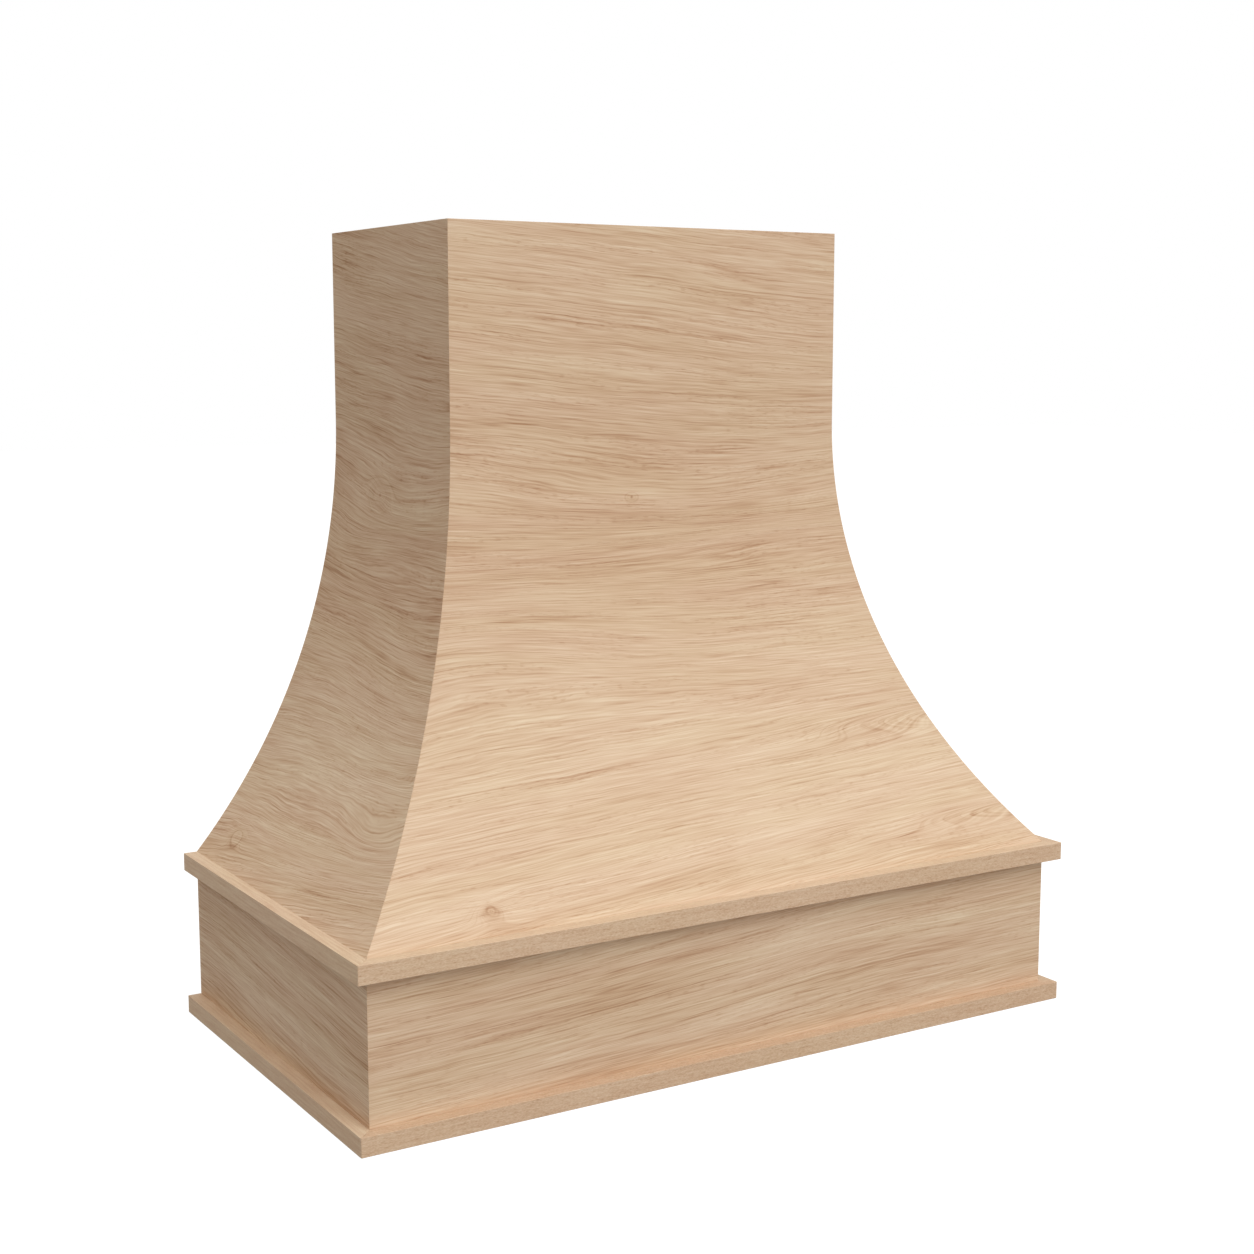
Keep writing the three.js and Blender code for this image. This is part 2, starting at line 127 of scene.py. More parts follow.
class Wire:
    """An output in a node tree, which adds and multiplies as a number does."""

    def __init__(self, graph, socket):
        self.graph = graph
        self.socket = socket

    def __add__(self, other):
        return self.graph.maths("ADD", self, other)

    def __radd__(self, other):
        return self.graph.maths("ADD", other, self)

    def __sub__(self, other):
        return self.graph.maths("SUBTRACT", self, other)

    def __rsub__(self, other):
        return self.graph.maths("SUBTRACT", other, self)

    def __mul__(self, other):
        return self.graph.maths("MULTIPLY", self, other)

    def __rmul__(self, other):
        return self.graph.maths("MULTIPLY", other, self)

    def __pow__(self, other):
        return self.graph.maths("POWER", self, other)


class Graph:
    """The node tree of a material or of the world."""

    def __init__(self, owner):
        owner.use_nodes = True
        self.tree = owner.node_tree

    def put(self, value, socket):
        """Links a wire to an input socket, or sets the socket to a plain value."""
        if isinstance(value, Wire):
            self.tree.links.new(value.socket, socket)
        else:
            socket.default_value = value

    def node(self, kind, inputs=None, **settings):
        """A new node, its inputs given by name or number."""
        made = self.tree.nodes.new(kind)
        for name, value in settings.items():
            setattr(made, name, value)
        for name, value in (inputs or {}).items():
            self.put(value, made.inputs[name])
        return made

    def wire(self, node, output):
        return Wire(self, node.outputs[output])

    def maths(self, operation, *values):
        made = self.node("ShaderNodeMath", operation=operation)
        for value, socket in zip(values, made.inputs):
            self.put(value, socket)
        return self.wire(made, 0)

    def hill(self, squares):
        """1 where a sum of squares is zero, falling off smoothly as it grows."""
        return self.maths("EXPONENT", -1.0 * squares)

    def parts(self, vector):
        """The x, y and z of a vector."""
        made = self.node("ShaderNodeSeparateXYZ", {0: vector})
        return [self.wire(made, axis) for axis in range(3)]

    def noise(self, x, y, z=0.0, detail=0.0):
        """Smooth noise about zero, one unit of x, y and z to a bump, mostly within a third."""
        place = self.node("ShaderNodeCombineXYZ", {0: x, 1: y, 2: z})
        inputs = {"Vector": self.wire(place, 0), "Scale": 1.0, "Detail": detail}
        dimensions = "2D" if z == 0.0 else "3D"
        made = self.node("ShaderNodeTexNoise", inputs, noise_dimensions=dimensions)
        return self.wire(made, 0) - 0.5

    def rise(self, value, low, high):
        """Climbs smoothly from 0 where value is low to 1 where it is high."""
        inputs = {"Value": value, "From Min": low, "From Max": high}
        made = self.node("ShaderNodeMapRange", inputs, interpolation_type="SMOOTHSTEP")
        return self.wire(made, 0)

    def ramp(self, value, stops):
        """A colour ramp through (position, colour) stops."""
        made = self.node("ShaderNodeValToRGB", {"Fac": value})
        elements = made.color_ramp.elements
        while len(elements) < len(stops):
            elements.new(1.0)
        for element, (position, colour) in zip(elements, stops):
            element.position = position
            element.color = (*colour, 1.0)
        return self.wire(made, 0)

    def tinted(self, colour, tint):
        """The product of two colours."""
        made = self.node("ShaderNodeMix", data_type="RGBA", blend_type="MULTIPLY")
        self.put(1.0, made.inputs[0])
        sockets = [socket for socket in made.inputs if socket.type == "RGBA"]
        for value, socket in zip((colour, tint), sockets):
            self.put(value, socket)
        return Wire(self, next(socket for socket in made.outputs if socket.type == "RGBA"))

    def bump(self, height, depth, strength):
        inputs = {"Height": height, "Distance": depth, "Strength": strength}
        return self.wire(self.node("ShaderNodeBump", inputs), 0)

    def surface(self, **inputs):
        """Sets the material's Principled shader."""
        shader = self.tree.nodes["Principled BSDF"]
        for name, value in inputs.items():
            self.put(value, shader.inputs[name.replace("_", " ")])


def srgb(red, green, blue):
    """A colour given as 8-bit display values."""

    def linear(value):
        value = value / 255
        return value / 12.92 if value <= 0.04045 else ((value + 0.055) / 1.055) ** 2.4

    return tuple(linear(value) for value in (red, green, blue))


def material(name):
    """A new material and its node tree."""
    made = bpy.data.materials.new(name)
    return made, Graph(made)


# ---- oak ----

OAK_STOPS = (
    (0.0, srgb(168, 125, 91)),
    (0.3, srgb(194, 157, 125)),
    (0.5, srgb(207, 174, 143)),
    (0.8, srgb(220, 193, 163)),
    (1.0, srgb(228, 204, 176)),
)
OAK_TINTS = ((0.0, (0.995, 1.0, 0.988)), (1.0, (1.0, 0.992, 1.0)))  # yellowish to pinkish
OAK_ROUGHNESS = 0.62
OAK_GLOSS = 0.2
OAK_RELIEF = 0.00012
MEAN_TONE = 0.5
GRAIN_TONE = 0.57  # between the dark lines, so that the mean comes to MEAN_TONE
PORE_SHADE = 0.13

# Layers of noise: strength, bumps to a metre along the grain, and bumps to a metre across it.
GRAIN_WAVES = ((0.010, 3, 9), (0.004, 9, 30), (0.0014, 26, 90), (0.0005, 70, 240))
BROAD_STREAKS = ((0.14, 3, 24), (0.16, 4, 80))
WOOD_FIBRES = ((0.30, 8, 430), (0.33, 12, 800), (0.34, 30, 1250))

# The same in solid boards, with the strength that full fleck adds in second place.
BOARD_FIBRES = ((0.70, -0.54, 22, 440), (0.0, 0.34, 150, 900), (0.0, 0.62, 400, 1500))
BOARD_STREAKS = 0.10
HEART_ACROSS = 0.42  # middle of the growth rings of the solid boards
HEART_HEIGHT = 0.16

RING_TURN = 2 * math.pi / 0.0075  # growth rings 7.5 mm apart where they arch
ARCH_SHADE = 0.15
ARCH_FOLDS = (0.008, 0.028)  # arches show from the first depth of fold, and fully at the second
FIBRE_FOLD = 0.35  # share of a fold that the fibres follow
KNOT_LENGTH = 0.4  # below 1, the bend at a knot is longer along the grain than across it
KNOT_PULL = 0.5  # how fully the grain is led round a knot


def layered(graph, total, along, across, seed, layers, scale=1.0):
    """`total` with layers of noise added, each as strong as it says, times `scale`."""
    for strength, lengthwise, crosswise in layers:
        total += scale * strength * graph.noise(along * lengthwise + seed, across * crosswise)
    return total


def hills(graph, along, across, places):
    """A sum of smooth hills, each given by its place, its length and width, and its height."""
    total = 0.0
    for middle, level, length, width, height in places:
        dx = (along - middle) * (1 / length)
        dy = (across - level) * (1 / width)
        total += height * graph.hill(dx * dx + dy * dy)
    return total


def thin_lines(graph, along, across, width):
    """1 along the middle of long thin lines, which part and meet, and 0 between them."""
    return graph.rise(-1.0 * graph.maths("ABSOLUTE", graph.noise(along, across)), -width, 0.0)


def oak_grain(graph, along, rings, fibre, seed, broad):
    """Light and dark lines: growth rings over `rings`, and wood fibres over `fibre`.

    Both say how far across the grain a place lies, so that the lines bend where they are bent.
    `broad` strengthens the wide soft streaks.
    """
    tone = layered(graph, GRAIN_TONE, along, rings, seed, BROAD_STREAKS, scale=broad)
    strong = graph.rise(graph.noise(along * 6 + seed, rings * 60), -0.12, 0.2)
    tone -= 0.19 * strong * thin_lines(graph, along * 1.8 - seed, rings * 85, 0.035)
    faint = graph.rise(graph.noise(along * 8 - seed, rings * 90), -0.25, 0.2)
    tone -= 0.16 * faint * thin_lines(graph, along * 2.6 + seed, rings * 210, 0.09)
    return layered(graph, tone, along, fibre, seed, WOOD_FIBRES)


def oak_pores(graph, along, fibre, seed):
    """1 in short open pores, which lie in rows."""
    pores = graph.rise(graph.noise(along * 95 + seed, fibre * 820), 0.12, 0.26)
    return pores * graph.rise(graph.noise(along * 5 + seed, fibre * 75), -0.06, 0.18)


def arch_lines(graph, along, rings, fold, seed):
    """1 in the dark part of the growth rings, where a fold bends them into arches."""
    wander = 5 * graph.noise(along * 9 + seed, rings * 50)
    rounds = graph.maths("SINE", rings * RING_TURN + wander)
    return graph.rise(rounds, 0.1, 1.0) * graph.rise(fold, *ARCH_FOLDS)


def part_at_knots(graph, along, across, rings, fibre, knots):
    """Rings and fibres led round the knots, and the shade of the knots' dark rims."""
    shade = 0.0
    for knot in knots:
        reach = knot["reach"]
        dx = (along - knot["along"]) * (1 / reach)
        dy = (across - knot["across"]) * (1 / reach)
        wide = dx * dx * KNOT_LENGTH + dy * dy
        near = graph.hill(wide)
        rings += near * (reach * graph.maths("SQRT", wide) - KNOT_PULL * rings)
        fibre += near * dy * (KNOT_PULL * reach)
        rim = graph.maths("SQRT", dx * dx + dy * dy) - knot["radius"] / reach
        rim = rim * (reach / knot["rim"])
        shade += knot["shade"] * graph.hill(rim * rim)
    return rings, fibre, shade


def finish_oak(graph, tone, pores, along, across, seed):
    """Colour, gloss and relief of bare sanded oak, from the tone of its grain and its pores."""
    tone = tone - PORE_SHADE * pores
    colour = graph.ramp(tone, OAK_STOPS)
    blush = graph.rise(graph.noise(along * 4.1 + seed, across * 30), -0.22, 0.22)
    graph.surface(
        Base_Color=graph.tinted(colour, graph.ramp(blush, OAK_TINTS)),
        Roughness=OAK_ROUGHNESS + 0.12 * (MEAN_TONE - tone) + 0.1 * pores,
        Specular_IOR_Level=OAK_GLOSS,
        Normal=graph.bump(tone * 0.5 - pores, OAK_RELIEF, 0.6),
    )


def oak_veneer(name, figure):
    """Plain-sliced oak veneer, its grain along the sheet, with a given figure."""
    made, graph = material(name)
    seed = figure["seed"]
    sheet = graph.node("ShaderNodeUVMap", uv_map="sheet")
    along, across, _ = graph.parts(graph.wire(sheet, 0))
    lean, twist = figure["lean"]
    fibre = across - along * (lean + twist * across)
    fibre -= hills(graph, along, across, figure["drift"])
    fibre = layered(graph, fibre, along, across, seed, GRAIN_WAVES, scale=figure["wave"])
    fold = hills(graph, along, across, figure["folds"])
    rings, fibre = fibre - fold, fibre - FIBRE_FOLD * fold
    arches = arch_lines(graph, along, rings, fold, seed)
    rings, fibre, shade = part_at_knots(graph, along, across, rings, fibre, figure["knots"])
    tone = oak_grain(graph, along, rings, fibre, seed, figure["broad"])
    tone = MEAN_TONE + figure["contrast"] * (tone - MEAN_TONE) - shade
    # wide darker and lighter areas: partly the veneer's own tone, partly painted light and shade
    tone -= hills(graph, along, across, figure["tone_and_painted_light"]) + ARCH_SHADE * arches
    finish_oak(graph, tone, oak_pores(graph, along, fibre, seed), along, rings, seed)
    return made


def oak_board(name, seed, axis, paleness, fleck):
    """Solid oak sawn along one axis: straight fibres, and at full fleck short marks and pores."""
    made, graph = material(name)
    place = graph.node("ShaderNodeTexCoord")
    x, y, z = graph.parts(graph.wire(place, "Object"))
    along, across = (x, y) if axis == "x" else (y, x)
    bend = 0.006 * graph.noise(along * 5 + seed, across * 9, z * 9)
    span = (across - HEART_ACROSS) ** 2 + (z - HEART_HEIGHT) ** 2
    rings = graph.maths("SQRT", span) + bend
    tone = paleness + BOARD_STREAKS * graph.noise(along * 3 + seed, rings * 60, 1.0)
    for plain, added, lengthwise, crosswise in BOARD_FIBRES:
        bumps = graph.noise(along * lengthwise + seed, across * crosswise, z * crosswise)
        tone += (plain + added * fleck) * bumps
    pores = graph.rise(graph.noise(along * 130 - seed, across * 800, z * 800), 0.12, 0.26)
    finish_oak(graph, tone, fleck * pores, along, rings, seed)
    return made


# ---- plywood and steel ----

PLY_THICKNESS = 0.0014
THICKEST_SHEET = 0.025
PLY_STOPS = (
    (0.0, srgb(120, 92, 62)),
    (0.35, srgb(180, 146, 110)),
    (0.6, srgb(214, 186, 152)),
    (1.0, srgb(232, 208, 178)),
)
PLY_RELIEF = 0.0001
EDGE_ROUGHNESS = 0.78
FACE_ROUGHNESS = 0.72
ZINC_STOPS = ((0.0, srgb(150, 152, 152)), (1.0, srgb(206, 208, 206)))
ZINC_ROUGHNESS = 0.34
ZINC_RELIEF = 0.00004


def plies(graph, depth, along):
    """Tone of a sheet's edge: plies in turn along and across, with a dark glue line between."""
    count = depth * (1 / PLY_THICKNESS) + 0.3 * graph.noise(along * 14, depth * 300)
    turn = graph.maths("PINGPONG", count, 1.0)
    end_grain = graph.rise(turn, 0.35, 0.65)
    glue = 1 - graph.rise(graph.maths("ABSOLUTE", turn - 0.5), 0.03, 0.11)
    fibre = graph.noise(along * 500, depth * 2600, detail=1)
    return 0.62 - 0.28 * end_grain - 0.3 * glue + 0.7 * fibre


def finish_ply(graph, tone, roughness):
    """Colour, gloss and relief of bare plywood from its grain."""
    graph.surface(
        Base_Color=graph.ramp(tone, PLY_STOPS),
        Roughness=roughness - 0.1 * tone,
        Normal=graph.bump(tone, PLY_RELIEF, 0.5),
    )


def ply_edge():
    """Edge of an oak-faced plywood sheet, mapped along the edge and through the sheet."""
    made, graph = material("ply_edge")
    edge = graph.node("ShaderNodeUVMap", uv_map="sheet")
    along, depth, _ = graph.parts(graph.wire(edge, 0))
    finish_ply(graph, plies(graph, depth, along), EDGE_ROUGHNESS)
    return made


def birch(name, through, along_axis, thickness, seed):
    """A frame part: birch face where the surface looks through the sheet, plies on its edges.

    A piece stouter than any sheet is solid timber, and shows no plies.
    """
    made, graph = material(name)
    coordinates = graph.node("ShaderNodeTexCoord")
    place = graph.parts(graph.wire(coordinates, "Object"))
    share = graph.parts(graph.wire(coordinates, "Generated"))
    facing = graph.parts(graph.wire(coordinates, "Normal"))
    across_axis = 3 - through - along_axis
    along, across = place[along_axis], place[across_axis]
    rings = across + 0.02 * graph.noise(along * 3 + seed, across * 9)
    tone = 0.66 + 0.5 * graph.noise(along * 4 + seed, rings * 60)
    tone += 0.5 * graph.noise(along * 12 + seed, rings * 300, detail=1)
    if thickness <= THICKEST_SHEET:
        edge_tone = plies(graph, share[through] * thickness, along + across)
        on_edge = 1 - graph.rise(graph.maths("ABSOLUTE", facing[through]), 0.6, 0.8)
        tone = tone + on_edge * (edge_tone - tone)
    finish_ply(graph, tone, FACE_ROUGHNESS)
    return made


def zinc_steel():
    """Bright zinc plate, faintly mottled."""
    made, graph = material("zinc_steel")
    place = graph.node("ShaderNodeTexCoord")
    x, y, z = graph.parts(graph.wire(place, "Object"))
    mottle = graph.noise(x * 260, y * 260, z * 260, detail=2)
    scuff = graph.noise(x * 1800, y * 1800, z * 400)
    graph.surface(
        Base_Color=graph.ramp(0.5 + 1.4 * mottle, ZINC_STOPS),
        Metallic=1.0,
        Roughness=ZINC_ROUGHNESS + 0.3 * mottle + 0.2 * scuff,
        Normal=graph.bump(scuff + mottle, ZINC_RELIEF, 0.5),
    )
    return made


# ---- meshes with a sheet map ----

EASED_FINE = 0.00025
EASED = 0.0005
EASED_STEPS = 3
EASED_ANGLE = 32  # degrees; blunter edges stay as they are
MERGE_DISTANCE = 1e-6


class Skin:
    """Collects faces, each with a finish and a place on its sheet for every corner."""

    def __init__(self):
        self.points = []
        self.faces = []
        self.places = []
        self.finishes = []

    def add(self, corners, places, finish):
        """One face. Corners may repeat points of other faces: they are merged at the end."""
        first = len(self.points)
        self.points += corners
        self.faces.append(range(first, first + len(corners)))
        self.places += places
        self.finishes.append(finish)

    def build(self, name, finishes):
        """The merged mesh as an object in the scene."""
        mesh = bpy.data.meshes.new(name)
        mesh.from_pydata(self.points, [], self.faces)
        layer = mesh.uv_layers.new(name="sheet")
        for loop, place in zip(layer.data, self.places):
            loop.uv = place
        for finish in finishes:
            mesh.materials.append(finish)
        for face, finish in zip(mesh.polygons, self.finishes):
            face.material_index = finish
        shell = bmesh.new()
        shell.from_mesh(mesh)
        bmesh.ops.remove_doubles(shell, verts=shell.verts, dist=MERGE_DISTANCE)
        bmesh.ops.recalc_face_normals(shell, faces=shell.faces)
        shell.to_mesh(mesh)
        shell.free()
        mesh.shade_smooth()
        return add_object(name, mesh)


def add_object(name, data):
    """A new object in the scene."""
    made = bpy.data.objects.new(name, data)
    bpy.context.scene.collection.objects.link(made)
    return made


def ease(piece, width):
    """Rounds the sharp edges of a piece by a hair, as sanding does."""
    modifier = piece.modifiers.new("eased", "BEVEL")
    modifier.width = width
    modifier.segments = EASED_STEPS
    modifier.limit_method = "ANGLE"
    modifier.angle_limit = math.radians(EASED_ANGLE)
    modifier.harden_normals = True


def stand_for(piece, node):
    """Shows a piece in place of a solid."""
    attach(piece, BODY)
    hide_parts(node)


# ---- figures of the veneers ----

# Places are metres along the sheet from the cover's middle, and up it: on the panels from the
# foot, along the curve, and on the apron from the cover's underside.
#
# `lean` tilts the grain, and by its second number more so up the sheet.
# `drift`, `folds` and the hills of tone and painted light are places for hills(). The first bend
# rings and fibres alike, the second bend the rings so far that they turn back in arches, and the
# third darken or lighten wide areas: partly the veneer's own tone, partly painted light and shade
# where the cover's faces catch more or less light.
# `knots` part the grain: `reach` says how far, and `radius` and `rim` where the dark rim lies and
# how wide it is. `broad` strengthens the wide soft streaks, `wave` makes the grain wander, and
# `contrast` sets light and dark lines off against each other.

PLAIN_FIGURE = {
    "seed": 101.5,
    "lean": (-0.060, 0.2),
    "drift": (),
    "folds": (),
    "knots": (),
    "tone_and_painted_light": (),
    "broad": 1.0,
    "wave": 1.0,
    "contrast": 1.0,
}
FRONT_FIGURE = {
    **PLAIN_FIGURE,
    "seed": 3.7,
    "wave": 0.8,
    "lean": (0.077, -0.149),
    "drift": (
        (-0.282, 0.298, 0.227, 0.070, 0.040),
        (0.048, 0.449, 0.373, 0.071, -0.050),
        (0.152, 0.406, 0.237, 0.024, 0.030),
        (0.248, 0.606, 0.400, 0.120, -0.042),
        (-0.029, 0.253, 0.149, 0.023, 0.010),
    ),
    "folds": ((0.440, 0.180, 0.220, 0.016, 0.066), (0.500, 0.052, 0.200, 0.013, 0.055)),
    "knots": (
        dict(along=-0.030, across=0.4635, reach=0.0035, radius=0.0, rim=0.0015, shade=0.5),
        dict(along=-0.2956, across=0.0276, reach=0.020, radius=0.0048, rim=0.0015, shade=0.24),
    ),
    # Tone and painted light: the first hill darkens a zone of the veneer, partly its own tone and
    # partly painted shade; the second is painted shade over the upper panel, and the third painted
    # light at the foot on the right, where the flare faces up to the light.
    "tone_and_painted_light": (
        (0.0, 0.400, 0.6, 0.09, 0.08),
        (0.0, 0.580, 0.9, 0.20, 0.07),
        (0.2, 0.110, 0.5, 0.12, -0.08),
    ),
}
LEFT_FIGURE = {
    **PLAIN_FIGURE,
    "seed": 21.4,
    "wave": 1.1,
    "contrast": 1.3,
    "lean": (-0.168, 0.453),
    "drift": (
        (-0.133, 0.109, 0.094, 0.034, -0.030),
        (0.063, 0.412, 0.188, 0.120, -0.040),
        (-0.101, 0.266, 0.169, 0.090, -0.039),
        (-0.012, 0.082, 0.171, 0.044, -0.028),
        (0.039, 0.404, 0.122, 0.030, 0.029),
    ),
    "folds": (
        (-0.300, 0.186, 0.160, 0.013, 0.050),
        (-0.270, 0.030, 0.090, 0.012, 0.026),
        (0.110, 0.334, 0.080, 0.014, 0.014),
    ),
    "knots": (
        dict(along=0.181, across=0.040, reach=0.015, radius=0.0, rim=0.0026, shade=0.2),
        dict(along=0.118, across=0.466, reach=0.012, radius=0.0, rim=0.0022, shade=0.3),
    ),
    # Tone and painted light: the first hill darkens a zone of the veneer, partly its own tone and
    # partly painted shade; the second is painted light on the lower flare, where it faces up to the
    # light.
    "tone_and_painted_light": ((0.0, 0.330, 0.5, 0.09, 0.10), (0.0, 0.170, 0.6, 0.12, -0.13)),
}
RIGHT_FIGURE = {
    **PLAIN_FIGURE,
    "seed": 47.9,
    "wave": 1.2,
    "lean": (0.120, -0.300),
    "drift": (
        (0.060, 0.420, 0.160, 0.060, 0.030),
        (-0.090, 0.250, 0.180, 0.070, -0.034),
        (0.120, 0.620, 0.200, 0.080, 0.024),
    ),
    "folds": ((-0.300, 0.120, 0.160, 0.014, 0.050), (0.270, 0.360, 0.100, 0.012, 0.028)),
    "knots": (
        dict(along=0.150, across=0.230, reach=0.014, radius=0.0, rim=0.0024, shade=0.4),
    ),
}
PANEL_FIGURES = {"front": FRONT_FIGURE, "left": LEFT_FIGURE, "right": RIGHT_FIGURE}

APRON_FIGURE = {
    **PLAIN_FIGURE,
    "seed": 61.2,
    "wave": 0.6,
    "contrast": 1.1,
    "lean": (0.038, 0.0),
    "drift": ((-0.444, 0.158, 0.381, 0.071, -0.016), (0.150, 0.100, 0.200, 0.060, 0.008)),
    # Painted shade: the front apron, which faces the lamps, is darkened.
    "tone_and_painted_light": ((0.0, 0.1, 0.9, 0.3, 0.05),),
    "broad": 1.9,
}
APRON_FIGURES = {
    "front": APRON_FIGURE,
    "left": {
        **APRON_FIGURE,
        "seed": 74.6,
        "wave": 0.9,
        "contrast": 1.35,
        # Painted light: the left apron, on the shaded side, is lightened.
        "tone_and_painted_light": ((0.0, 0.1, 0.9, 0.3, -0.05),),
    },
    "right": {**PLAIN_FIGURE, "seed": 88.3, "contrast": 1.15},
}


# ---- chimney panels ----

FACE, EDGE, BACK = range(3)


def panel_skin(section_at, along_axis, flare):
    """The skin of a bent panel through level sections of four corners: face, face, back, back."""
    skin = Skin()
    heights = flare.heights()
    rings = [[Vector((x, y, z)) for x, y in section_at(z)] for z in heights]
    climbs = [flare.climb(z) for z in heights]
    for low, high, foot, head in zip(rings, rings[1:], climbs, climbs[1:]):
        for first, second, finish in ((0, 1, FACE), (2, 3, BACK)):
            corners = [low[first], low[second], high[second], high[first]]
            ups = (foot, foot, head, head)
            places = [(corner[along_axis], up) for corner, up in zip(corners, ups)]
            skin.add(corners, places, finish)
        for face, back in ((1, 2), (0, 3)):
            corners = [low[face], low[back], high[back], high[face]]
            skin.add(corners, [(foot, 0), (foot, SKIN), (head, SKIN), (head, 0)], EDGE)
    for ring in (rings[0], rings[-1]):
        places = [(corner[along_axis], deep) for corner, deep in zip(ring, (0, 0, SKIN, SKIN))]
        skin.add(ring, places, EDGE)
    return skin


def front_section(z):
    outer, inner = half_width_at(z) - HIP_GAP, half_width_at(z, SKIN) - HIP_GAP
    face, back = front_at(z), front_at(z, SKIN)
    return [(-outer, face), (outer, face), (inner, back), (-inner, back)]


def side_section(side):
    def section(z):
        outer, inner = side * half_width_at(z), side * half_width_at(z, SKIN)
        face, back = front_at(z) + HIP_GAP, front_at(z, SKIN) + HIP_GAP
        return [(outer, face), (outer, WALL), (inner, WALL), (inner, back)]

    return section


def make_panels(edge, back):
    veneers = {
        word: oak_veneer(f"oak_veneer_{word}", figure) for word, figure in PANEL_FIGURES.items()
    }
    skins = {"front": panel_skin(front_section, GRAIN_AXIS["front"], FRONT_FLARE)}
    for word, side in SIDES.items():
        skins[word] = panel_skin(side_section(side), GRAIN_AXIS[word], SIDE_FLARE)
    for word, skin in skins.items():
        panel = skin.build(f"oak_{word}_panel", [veneers[word], edge, back])
        ease(panel, EASED_FINE)
        stand_for(panel, f"{word}_panel")


# ---- boards mitred at the front corners ----


def board_outlines(half, front, width):
    """Plan outlines, each as outer pair then inner pair, of a front and two side boards."""
    inner, back = half - width, front + width
    outer_front = [(HIP_GAP - half, front), (half - HIP_GAP, front)]
    inner_front = [(inner - HIP_GAP, back), (HIP_GAP - inner, back)]
    outlines = {"front": outer_front + inner_front}
    for word, side in SIDES.items():
        outer_side = [(side * half, front + HIP_GAP), (side * half, WALL)]
        inner_side = [(side * inner, WALL), (side * inner, back + HIP_GAP)]
        outlines[word] = outer_side + inner_side
    return outlines


def board_skin(outline, along_axis, low, high):
    """A board with its sheet map running over its front, top, back and underside."""
    skin = Skin()
    across_axis = 1 - along_axis
    bottom = [Vector((x, y, low)) for x, y in outline]
    top = [Vector((x, y, high)) for x, y in outline]
    width = abs(bottom[0][across_axis] - bottom[2][across_axis])
    height = high - low

    def add(corners, ups, finish):
        skin.add(corners, [(corner[along_axis], up) for corner, up in zip(corners, ups)], finish)

    upright = (low, low, high, high)
    level = (high, high, high + width, high + width)
    add([bottom[0], bottom[1], top[1], top[0]], upright, FACE)
    add([bottom[2], bottom[3], top[3], top[2]], upright, BACK)
    add(top, level, EDGE)
    add(bottom, level, EDGE)
    for outer, inner in ((0, 3), (1, 2)):
        corners = [bottom[outer], bottom[inner], top[inner], top[outer]]
        skin.add(corners, [(0, 0), (0, width), (height, width), (height, 0)], EDGE)
    return skin


def board_sizes(front, side):
    """Bottom, top and thickness of the boards whose front and side solids are named."""
    low, high = (corner.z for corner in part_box(front))
    side_low, side_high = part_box(side)
    return low, high, side_high.x - side_low.x


def make_bands():
    # The left boards are paler than the front ones: painted light on the shaded side.
    timber = {
        "front": oak_board("oak_board_front", seed=5.3, axis="x", paleness=0.50, fleck=0.8),
        "left": oak_board("oak_board_left", seed=15.8, axis="y", paleness=0.70, fleck=0.4),
        "right": oak_board("oak_board_right", seed=33.1, axis="y", paleness=0.60, fleck=0.6),
    }
    # Paler oak for the top of the upper front band, and so for its underside and mitred ends, which
    # share the slot: painted light where the ledge catches the light.
    painted_light_ledge = oak_board("oak_board_painted_light_ledge", seed=5.3, axis="x", paleness=0.70, fleck=0.6)
    for level in ("lower", "upper"):
        low, high, width = board_sizes(f"{level}_band_front", f"{level}_band_left")
        for word, outline in board_outlines(HALF_WIDTH, FRONT, width).items():
            skin = board_skin(outline, GRAIN_AXIS[word], low, high)
            # The upper front band takes the paler oak on its top, underside and ends: painted
            # light.
            ledge = painted_light_ledge if (level, word) == ("upper", "front") else timber[word]
            finishes = [timber[word], ledge, timber[word]]
            band = skin.build(f"oak_{level}_band_{word}", finishes)
            ease(band, EASED)
            stand_for(band, f"{level}_band_{word}")


def make_apron(edge, back):
    veneers = {
        word: oak_veneer(f"oak_veneer_apron_{word}", figure)
        for word, figure in APRON_FIGURES.items()
    }
    low, high, thickness = board_sizes("apron_front", "apron_left")
    for word, outline in board_outlines(APRON_HALF, APRON_FRONT, thickness).items():
        skin = board_skin(outline, GRAIN_AXIS[word], low, high)
        board = skin.build(f"oak_apron_{word}", [veneers[word], edge, back])
        ease(board, EASED_FINE)
        stand_for(board, f"apron_{word}")


# ---- the plywood frame ----

FRAME_WORDS = ("rail", "stringer", "rib", "post", "block", "cleat", "key")
BIRCH_SEED = 7.0
BIRCH_SEED_STEP = 11


def finish_solid(node, finish):
    """A new finish, and eased edges, for a solid that stays in view."""
    for slot in node.material_slots:
        slot.material = finish
    ease(node, EASED)


def dress_frame():
    """New finishes for the solids of the inner frame, by the way each sheet and its grain lie."""
    made = {}
    for name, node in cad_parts.items():
        if "screw" in name or not any(word in name for word in FRAME_WORDS):
            continue
        low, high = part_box(name)
        size = [round(length, 4) for length in high - low]
        thickness = min(size)
        key = (size.index(thickness), size.index(max(size)), thickness)
        if key not in made:
            through, along_axis, _ = key
            label = f"birch_{'xyz'[through]}_{'xyz'[along_axis]}_{1000 * thickness:.1f}"
            made[key] = birch(label, *key, BIRCH_SEED + BIRCH_SEED_STEP * len(made))
        finish_solid(node, made[key])


# ---- steel ----

